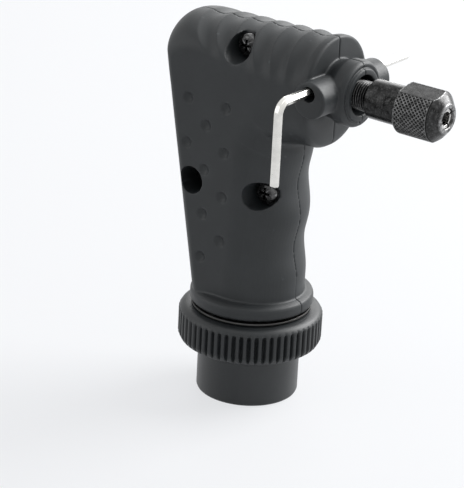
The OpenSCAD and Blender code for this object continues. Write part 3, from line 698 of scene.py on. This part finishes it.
def make_collet():
    """The collet, with two crossing slots from its front end."""
    slot_reach = 4.7
    collet = lathe("slotted_collet", [
        (collet_back, shank_r), (collet_back, seat_small), (seat_back, seat_small),
        (chuck_front, seat_large), (chuck_front + 0.7, seat_large),
        (collet_front - 0.5, seat_small), (collet_front, seat_small), (collet_front, shank_r)],
        "X", steps=96, radius=0.12)
    slots = []
    for turn in (30, 120):
        slot = box((seat_back, -slot_w / 2, -slot_reach), (nut_tip_x + 4, slot_w / 2, slot_reach))
        slot.data.transform(Matrix.Translation((0, 0, spindle_z * MM))
                            @ Matrix.Rotation(math.radians(turn), 4, "X"))
        slots.append(slot)
    combine(collet, slots)
    shade(collet, 35)
    return collet


def make_collet_nut():
    """The front nut: crossing knurled ridges with pits between them, two flats, a plain cone."""
    starts, samples = 36, 8
    knurl_pitch, knurl_depth, knurl_fade = 1.06, 0.2, 0.25
    ridge_flat, pit_gain = 0.14, 1.5
    knurl_start, knurl_end = nut_x + 0.45, nut_cone_x - 0.1
    flat_turn = math.radians(12)
    gap, cone_steps = 0.08, 14

    def shaped(along, r, angle):
        if r > collet_nut_r - 0.01 and knurl_start < along < knurl_end:
            u = angle / (2 * math.pi) * starts
            v = (along - knurl_start) / knurl_pitch
            a, b = ((1 - abs(2 * (w % 1.0) - 1)) for w in (u + v, u - v))
            pit = clamp01((min(a, b) - ridge_flat) * pit_gain)
            r -= knurl_depth * pit * ease(min(along - knurl_start, knurl_end - along) / knurl_fade)
        across = abs(math.cos(angle - math.pi / 2 - flat_turn))
        return min(r, nut_flats_w / 2 / max(across, 0.1))

    rows = round((knurl_end - knurl_start) / knurl_pitch * samples)
    cone_a, cone_b = (nut_cone_x + 0.15, collet_nut_r - 0.2), (nut_tip_x - 0.2, nut_tip_r + 0.22)
    outline = [(nut_x, chuck_thread_r + run_gap), (nut_x, collet_nut_r - 0.5),
               (nut_x + 0.12, collet_nut_r - 0.2), (nut_x + 0.4, collet_nut_r)]
    outline += on_line((knurl_start, collet_nut_r), (knurl_end, collet_nut_r), rows)
    outline += [(knurl_end, collet_nut_r), (nut_cone_x, collet_nut_r - 0.05)]
    outline += on_line(cone_a, cone_b, cone_steps)
    outline += [cone_b, (nut_tip_x, nut_tip_r - 0.1),
                (nut_tip_x, seat_small + gap + 0.1), (nut_tip_x - 0.1, seat_small + gap),
                (collet_front - 0.5, seat_small + gap), (chuck_front + 0.7, seat_large + gap),
                (chuck_front + 0.5, chuck_thread_r + run_gap)]
    return lathe("knurled_collet_nut", outline, "X", steps=starts * samples, bend=shaped,
                 smooth_angle=24)


# Lock key

def make_key():
    """A bent hexagonal bar, with its edges slightly rounded and its ends chamfered."""
    edge, end_size, end_len = 0.12, 0.82, 0.2
    edge_turn = 0.85 * edge / key_corner_r
    long_steps, bend_steps, short_steps = 12, 20, 6
    section = []
    for k in range(6):
        for off, drop in ((-1, 0.5), (0, 0.55), (1, 0.5)):
            r = key_corner_r - edge * drop
            turn = math.radians(60 * k) + off * edge_turn
            section.append((r * math.cos(turn), r * math.sin(turn)))
    bm = bmesh.new()
    rings = []

    def add_ring(y, z, size=1.0, turn=0.0):
        """The section at a point of the bar's middle line, turned down from the long arm's."""
        rings.append([bm.verts.new((
            key_x + a * size, y - b * size * math.sin(turn), z + b * size * math.cos(turn)))
            for a, b in section])

    bend_y = key_corner_y + key_bend_r
    add_ring(key_tip_y, key_z, end_size)
    for k in range(long_steps):
        add_ring(mix(key_tip_y - end_len, bend_y, k / long_steps), key_z)
    for k in range(bend_steps + 1):
        turn = math.pi / 2 * k / bend_steps
        add_ring(bend_y - key_bend_r * math.sin(turn),
                 key_z - key_bend_r + key_bend_r * math.cos(turn), 1.0, turn)
    low = key_z - key_short
    for k in range(1, short_steps + 1):
        add_ring(key_corner_y, mix(key_z - key_bend_r, low + end_len, k / short_steps),
                 1.0, math.pi / 2)
    add_ring(key_corner_y, low, end_size, math.pi / 2)
    ring_faces(bm, rings)
    cap(bm, rings)
    return to_object("bent_lock_key", bm, 24)


# Materials

FACTOR, COLOUR_A, COLOUR_B, MIXED = 0, 6, 7, 2  # sockets of a Mix node that mixes colours


class Graph:
    """Builds one material's nodes. Scales and distances are in metres, as the pieces are."""

    def __init__(self, name):
        self.material = bpy.data.materials.new(name)
        self.material.use_nodes = True
        self.nodes = self.material.node_tree.nodes
        self.links = self.material.node_tree.links
        self.shader = self.nodes["Principled BSDF"]
        self.coords = self.nodes.new("ShaderNodeTexCoord").outputs["Object"]

    def put(self, socket, value):
        """Links the value if it is a socket, and else sets it."""
        if isinstance(value, bpy.types.NodeSocket):
            self.links.new(value, socket)
        else:
            socket.default_value = value

    def set(self, **inputs):
        """Inputs of the main shader, with _ for a space in a name."""
        for name, value in inputs.items():
            self.put(self.shader.inputs[name.replace("_", " ")], value)

    def stretch(self, scale):
        """The coordinates times a scale along each axis."""
        node = self.nodes.new("ShaderNodeMapping")
        self.links.new(self.coords, node.inputs["Vector"])
        node.inputs["Scale"].default_value = scale
        return node.outputs[0]

    def noise(self, scale, detail=3.0, rough=0.5, vector=None):
        node = self.nodes.new("ShaderNodeTexNoise")
        self.links.new(vector or self.coords, node.inputs["Vector"])
        node.inputs["Scale"].default_value = scale
        node.inputs["Detail"].default_value = detail
        node.inputs["Roughness"].default_value = rough
        return node.outputs[0]

    def from_spindle(self):
        """Distance from the spindle's axis, in metres."""
        move = self.nodes.new("ShaderNodeVectorMath")
        move.operation = "MULTIPLY_ADD"
        self.links.new(self.coords, move.inputs[0])
        move.inputs[1].default_value = (0.0, 1.0, 1.0)
        move.inputs[2].default_value = (0.0, 0.0, -spindle_z * MM)
        length = self.nodes.new("ShaderNodeVectorMath")
        length.operation = "LENGTH"
        self.links.new(move.outputs[0], length.inputs[0])
        return length.outputs["Value"]

    def ramp(self, value, low, high, out_low=0.0, out_high=1.0):
        """The value's range from low to high, stretched to the one from out_low to out_high."""
        node = self.nodes.new("ShaderNodeMapRange")
        for socket, v in zip(node.inputs, (value, low, high, out_low, out_high)):
            self.put(socket, v)
        return node.outputs[0]

    def blend(self, factor, a, b):
        node = self.nodes.new("ShaderNodeMix")
        node.data_type = "RGBA"
        self.put(node.inputs[FACTOR], factor)
        self.put(node.inputs[COLOUR_A], a)
        self.put(node.inputs[COLOUR_B], b)
        return node.outputs[MIXED]

    def math(self, operation, a, b):
        node = self.nodes.new("ShaderNodeMath")
        node.operation = operation
        self.put(node.inputs[0], a)
        self.put(node.inputs[1], b)
        return node.outputs[0]

    def edges(self, low, high):
        """0 on flat ground, 1 on outer edges and corners."""
        geometry = self.nodes.new("ShaderNodeNewGeometry")
        return self.ramp(geometry.outputs["Pointiness"], low, high)

    def bump(self, height, strength, distance):
        node = self.nodes.new("ShaderNodeBump")
        self.put(node.inputs["Height"], height)
        node.inputs["Strength"].default_value = strength
        node.inputs["Distance"].default_value = distance
        return node.outputs[0]


def grey(v, tint=(1.0, 1.0, 1.0)):
    """A grey as a colour with alpha, tinted or not."""
    return (v * tint[0], v * tint[1], v * tint[2], 1.0)


COOL = (0.87, 1.0, 1.08)  # the plastic's slight blue
BARE = grey(0.5)


def moulded_plastic(name, dark, light, rough, grain, wear):
    """Satin moulded plastic: spark-eroded grain, faint handling marks, paler rubbed edges."""
    g = Graph(name)
    patches = g.ramp(g.noise(90.0, 4.0, 0.55), 0.38, 0.66)
    colour = g.blend(patches, grey(dark, COOL), grey(light, COOL))
    rubbed = g.math("MULTIPLY", g.edges(0.53, 0.62), g.ramp(g.noise(420.0, 3.0, 0.6), 0.35, 0.65))
    colour = g.blend(g.math("MULTIPLY", rubbed, wear), colour, grey(light * 3.2, COOL))
    fine = g.noise(4200.0, 2.0, 0.5)
    g.set(Base_Color=colour, Specular_IOR_Level=0.42)
    smears = g.noise(55.0, 5.0, 0.6, g.stretch((1.0, 1.0, 0.45)))
    g.set(Roughness=g.math("ADD", g.ramp(smears, 0.3, 0.7, rough - 0.05, rough + 0.06),
                           g.ramp(fine, 0.3, 0.7, -0.03, 0.03)))
    g.set(Normal=g.bump(fine, grain, 0.04 * MM))
    return g.material


def oxide_steel(name, dark, light, rough, worn, turned=False, crest_mm=0.0):
    """Blackened steel: mottled oxide, faint tool marks, bright metal where it is rubbed.

    With crest_mm, the radius of a knurl's crests, these are rubbed too and its pits get painted
    shade, near black.
    """
    g = Graph(name)
    mottle = g.ramp(g.noise(650.0, 5.0, 0.65), 0.36, 0.66)
    specks = g.ramp(g.noise(2600.0, 3.0, 0.6), 0.56, 0.7)
    colour = g.blend(mottle, grey(dark), grey(light))
    colour = g.blend(g.math("MULTIPLY", specks, 0.5), colour, grey(light * 2.4))
    sharp = g.edges(0.51, 0.56) if crest_mm else g.edges(0.52, 0.6)
    rubbed = g.math("MULTIPLY", sharp, g.ramp(g.noise(900.0, 4.0, 0.7), 0.36, 0.6))
    colour = g.blend(g.math("MULTIPLY", rubbed, worn), colour, BARE)
    if crest_mm:
        out = g.from_spindle()

        def under(low, high, out_low, out_high):
            """A ramp between two depths in mm under the crest."""
            return g.ramp(out, (crest_mm - low) * MM, (crest_mm - high) * MM, out_low, out_high)

        patchy = g.ramp(g.noise(900.0, 4.0, 0.6), 0.44, 0.58, 0.12, 1.0)
        bare = g.math("MULTIPLY", under(0.07, 0.01, 0.0, 1.0), patchy)
        colour = g.blend(bare, colour, grey(0.17))
        # Painted shade: between these depths under the crest the knurl's pits are darkened to near
        # black, standing in for the shade in them; the flats and the cone lie deeper and keep their
        # colour.
        painted_pit_shade_mix = g.math("MAXIMUM", under(0.16, 0.02, 0.03, 1.0), under(0.32, 0.24, 1.0, 0.0))
        colour = g.blend(painted_pit_shade_mix, grey(0.003), colour)
    g.set(Base_Color=colour, Metallic=0.85)
    g.set(Roughness=g.ramp(g.noise(800.0, 4.0, 0.6), 0.3, 0.7, rough - 0.08, rough + 0.1))
    marks = g.noise(1.0, 2.0, 0.5, g.stretch((9000.0, 60.0, 60.0))) if turned else g.noise(3000.0)
    g.set(Normal=g.bump(marks, 0.12, 0.03 * MM))
    return g.material


def bright_steel(name, base, rough, stretch, tint=(1.0, 0.99, 0.97), marks=0.14):
    """Bare or plated steel: fine drawn or turned lines, slight clouding."""
    g = Graph(name)
    lines = g.noise(1.0, 3.0, 0.55, g.stretch(stretch))
    cloud = g.ramp(g.noise(300.0, 4.0, 0.6), 0.35, 0.65)
    colour = g.blend(cloud, grey(base * 0.86, tint), grey(base, tint))
    g.set(Base_Color=colour, Metallic=1.0)
    g.set(Roughness=g.math("ADD", g.ramp(lines, 0.3, 0.7, rough - 0.05, rough + 0.07),
                           g.ramp(g.noise(140.0, 3.0), 0.3, 0.7, -0.03, 0.04)))
    g.set(Normal=g.bump(lines, marks, 0.02 * MM))
    return g.material


def oiled_metal(name, low, high, rough):
    """Sintered or pressed yellow metal with a film of grease."""
    g = Graph(name)
    grain = g.noise(1800.0, 4.0, 0.6)
    g.set(Base_Color=g.blend(g.ramp(grain, 0.35, 0.65), low, high), Metallic=0.95)
    g.set(Roughness=g.ramp(g.noise(260.0, 4.0, 0.6), 0.3, 0.7, rough - 0.1, rough + 0.12))
    g.set(Normal=g.bump(grain, 0.2, 0.03 * MM))
    return g.material


def paint(obj, material):
    obj.data.materials.clear()
    obj.data.materials.append(material)


def dress(obj, material, slot, body, *nodes):
    """Gives a new piece its finish and its body, and hides the CAD nodes that it stands for."""
    paint(obj, material)
    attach(obj, body)
    if nodes:
        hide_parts(*nodes)


# Studio

def add_light(name, place, size, power):
    """A rectangular lamp, sizes in metres and power in watts, that faces the object."""
    data = bpy.data.lights.new(name, "AREA")
    data.shape = "RECTANGLE"
    data.size, data.size_y = size
    data.energy = power
    lamp = link(name, data)
    lamp.location = Vector(place)
    lamp.rotation_euler = (TARGET - lamp.location).to_track_quat("-Z", "Y").to_euler()


def eye_rays(nodes, links):
    """1 for a ray from the camera, also one that metal or glass sends on, and 0 for all others."""
    path = nodes.new("ShaderNodeLightPath")
    total = path.outputs["Is Camera Ray"]
    for kind in ("Is Glossy Ray", "Is Transmission Ray"):
        step = nodes.new("ShaderNodeMath")
        step.operation = "MAXIMUM"
        links.new(total, step.inputs[0])
        links.new(path.outputs[kind], step.inputs[1])
        total = step.outputs[0]
    return total


def add_floor():
    """A pale floor, which the eye sees mostly by its own light, so that its shadow is pale."""
    half_m, glow_share = 3.0, 0.78
    bm = bmesh.new()
    bm.faces.new([bm.verts.new((half_m * x, half_m * y, 0.0))
                  for x, y in ((-1, -1), (1, -1), (1, 1), (-1, 1))])
    floor = from_bmesh("floor", bm)
    g = Graph("pale_floor")
    cloud = g.ramp(g.noise(3.0, 2.0), 0.3, 0.7)
    colour = g.blend(cloud, (0.78, 0.79, 0.80, 1.0), (0.80, 0.805, 0.815, 1.0))
    g.set(Base_Color=colour, Roughness=0.6)
    glow = g.nodes.new("ShaderNodeEmission")
    glow.inputs["Color"].default_value = (0.90, 0.91, 0.93, 1.0)
    both = g.nodes.new("ShaderNodeMixShader")
    g.links.new(g.math("MULTIPLY", eye_rays(g.nodes, g.links), glow_share), both.inputs[0])
    g.links.new(g.shader.outputs[0], both.inputs[1])
    g.links.new(glow.outputs[0], both.inputs[2])
    g.links.new(both.outputs[0], g.nodes["Material Output"].inputs["Surface"])
    paint(floor, g.material)


def add_studio():
    """The floor, a white surround that lights the object less than it shows, and the lamps."""
    given, shown = (0.22, 0.225, 0.235, 1.0), (0.98, 0.985, 0.99, 1.0)
    add_floor()
    world = bpy.data.worlds.new("studio")
    bpy.context.scene.world = world
    world.use_nodes = True
    nodes, links = world.node_tree.nodes, world.node_tree.links
    pick = nodes.new("ShaderNodeMix")
    pick.data_type = "RGBA"
    links.new(eye_rays(nodes, links), pick.inputs[FACTOR])
    pick.inputs[COLOUR_A].default_value = given
    pick.inputs[COLOUR_B].default_value = shown
    links.new(pick.outputs[MIXED], nodes["Background"].inputs["Color"])

    add_light("key", place=(0.32, 0.58, 0.52), size=(0.6, 0.6), power=11.2)
    add_light("back", place=(-0.30, 0.80, 0.40), size=(0.8, 0.5), power=2.5)
    add_light("top", place=(0.0, 0.0, 0.90), size=(0.8, 0.8), power=1.2)
    add_light("fill", place=(-0.60, -0.60, 0.40), size=(0.6, 0.6), power=1.0)
    bpy.context.scene.view_settings.view_transform = "Standard"


add_camera()
add_studio()

body_plastic = moulded_plastic(
    "charcoal_plastic", dark=0.019, light=0.024, rough=0.5, grain=0.35, wear=0.5)
nut_plastic = moulded_plastic(
    "coupling_plastic", dark=0.017, light=0.022, rough=0.42, grain=0.25, wear=0.7)
black_oxide = oxide_steel(
    "black_oxide", dark=0.004, light=0.045, rough=0.25, worn=0.55, turned=True)
# Black oxide for the collet nut, with painted shade in its knurl's pits.
knurl_oxide_painted_pits = oxide_steel(
    "knurl_oxide_painted_pits", dark=0.016, light=0.06, rough=0.28, worn=0.9, crest_mm=collet_nut_r)
screw_black = oxide_steel("screw_black", dark=0.008, light=0.03, rough=0.2, worn=0.6)
spindle_black = oxide_steel("spindle_black", dark=0.006, light=0.035, rough=0.28, worn=0.4)
washer_steel = bright_steel("washer_steel", base=0.1, rough=0.4, stretch=(400.0, 400.0, 400.0))
shaft_steel = bright_steel("shaft_steel", base=0.5, rough=0.28, stretch=(200.0, 200.0, 6000.0))
race_steel = bright_steel("race_steel", base=0.62, rough=0.16, stretch=(900.0, 900.0, 900.0))
collet_steel = bright_steel("collet_steel", base=0.66, rough=0.26, stretch=(5000.0, 200.0, 200.0))
key_nickel = bright_steel("key_nickel", base=0.8, rough=0.2, stretch=(700.0, 60.0, 700.0),
                          tint=(1.0, 0.985, 0.94), marks=0.04)
gear_metal = oiled_metal(
    "gear_metal", low=(0.30, 0.27, 0.19, 1.0), high=(0.46, 0.42, 0.30, 1.0), rough=0.36)
cage_brass = oiled_metal(
    "cage_brass", low=(0.48, 0.33, 0.12, 1.0), high=(0.64, 0.46, 0.19, 1.0), rough=0.3)

right_half, left_half = make_housing()
dress(right_half, body_plastic, "housing", "housing", "housing_right")
dress(left_half, body_plastic, "housing", "housing", "housing_left")
screws = merge("case_screws", [make_screw(x, z) for x, z in SCREWS])
dress(screws, screw_black, "screw", "housing", "housing_screws")
coupling, coupling_thread = make_coupling()
dress(coupling, nut_plastic, "coupling", "coupling_nut", "coupling_nut")
dress(coupling_thread, nut_plastic, "coupling", "coupling_nut")
washer = lathe("bright_washer", [
    (washer_seat, lip_r + 0.1), (washer_seat, washer_r), (washer_seat + washer_t, washer_r),
    (washer_seat + washer_t, lip_r + 0.1)], "Z", steps=144, radius=0.08)
dress(washer, washer_steel, "washer", "coupling_nut", "thrust_washer")
dress(make_spindle(), spindle_black, "black_oxide", "output_spindle", "output_shaft")
dress(make_collet(), collet_steel, "collet", "collet", "collet")
dress(make_chuck(), black_oxide, "black_oxide", "output_spindle", "chuck_body")
dress(make_collet_nut(), knurl_oxide_painted_pits, "black_oxide", "collet_nut", "collet_nut")
dress(make_key(), key_nickel, "key", "lock_key", "lock_key")

# CAD nodes that are shown as they are, with the finish of each
CARRIED = {
    "input_shaft": shaft_steel, "input_gear": gear_metal, "input_gear_pin": shaft_steel,
    "input_circlip": screw_black, "input_bearing_outers": race_steel,
    "input_bearing_inners": race_steel, "input_bearing_balls": race_steel,
    "input_bearing_cages": cage_brass, "output_gear": gear_metal, "output_gear_pin": shaft_steel,
    "output_spacer": shaft_steel, "output_bearing_outers": race_steel,
    "output_bearing_inners": race_steel, "output_bearing_balls": race_steel,
    "output_bearing_cages": cage_brass}
for node, finish in CARRIED.items():
    paint_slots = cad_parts[node].data.materials
    for k in range(len(paint_slots)):
        paint_slots[k] = finish
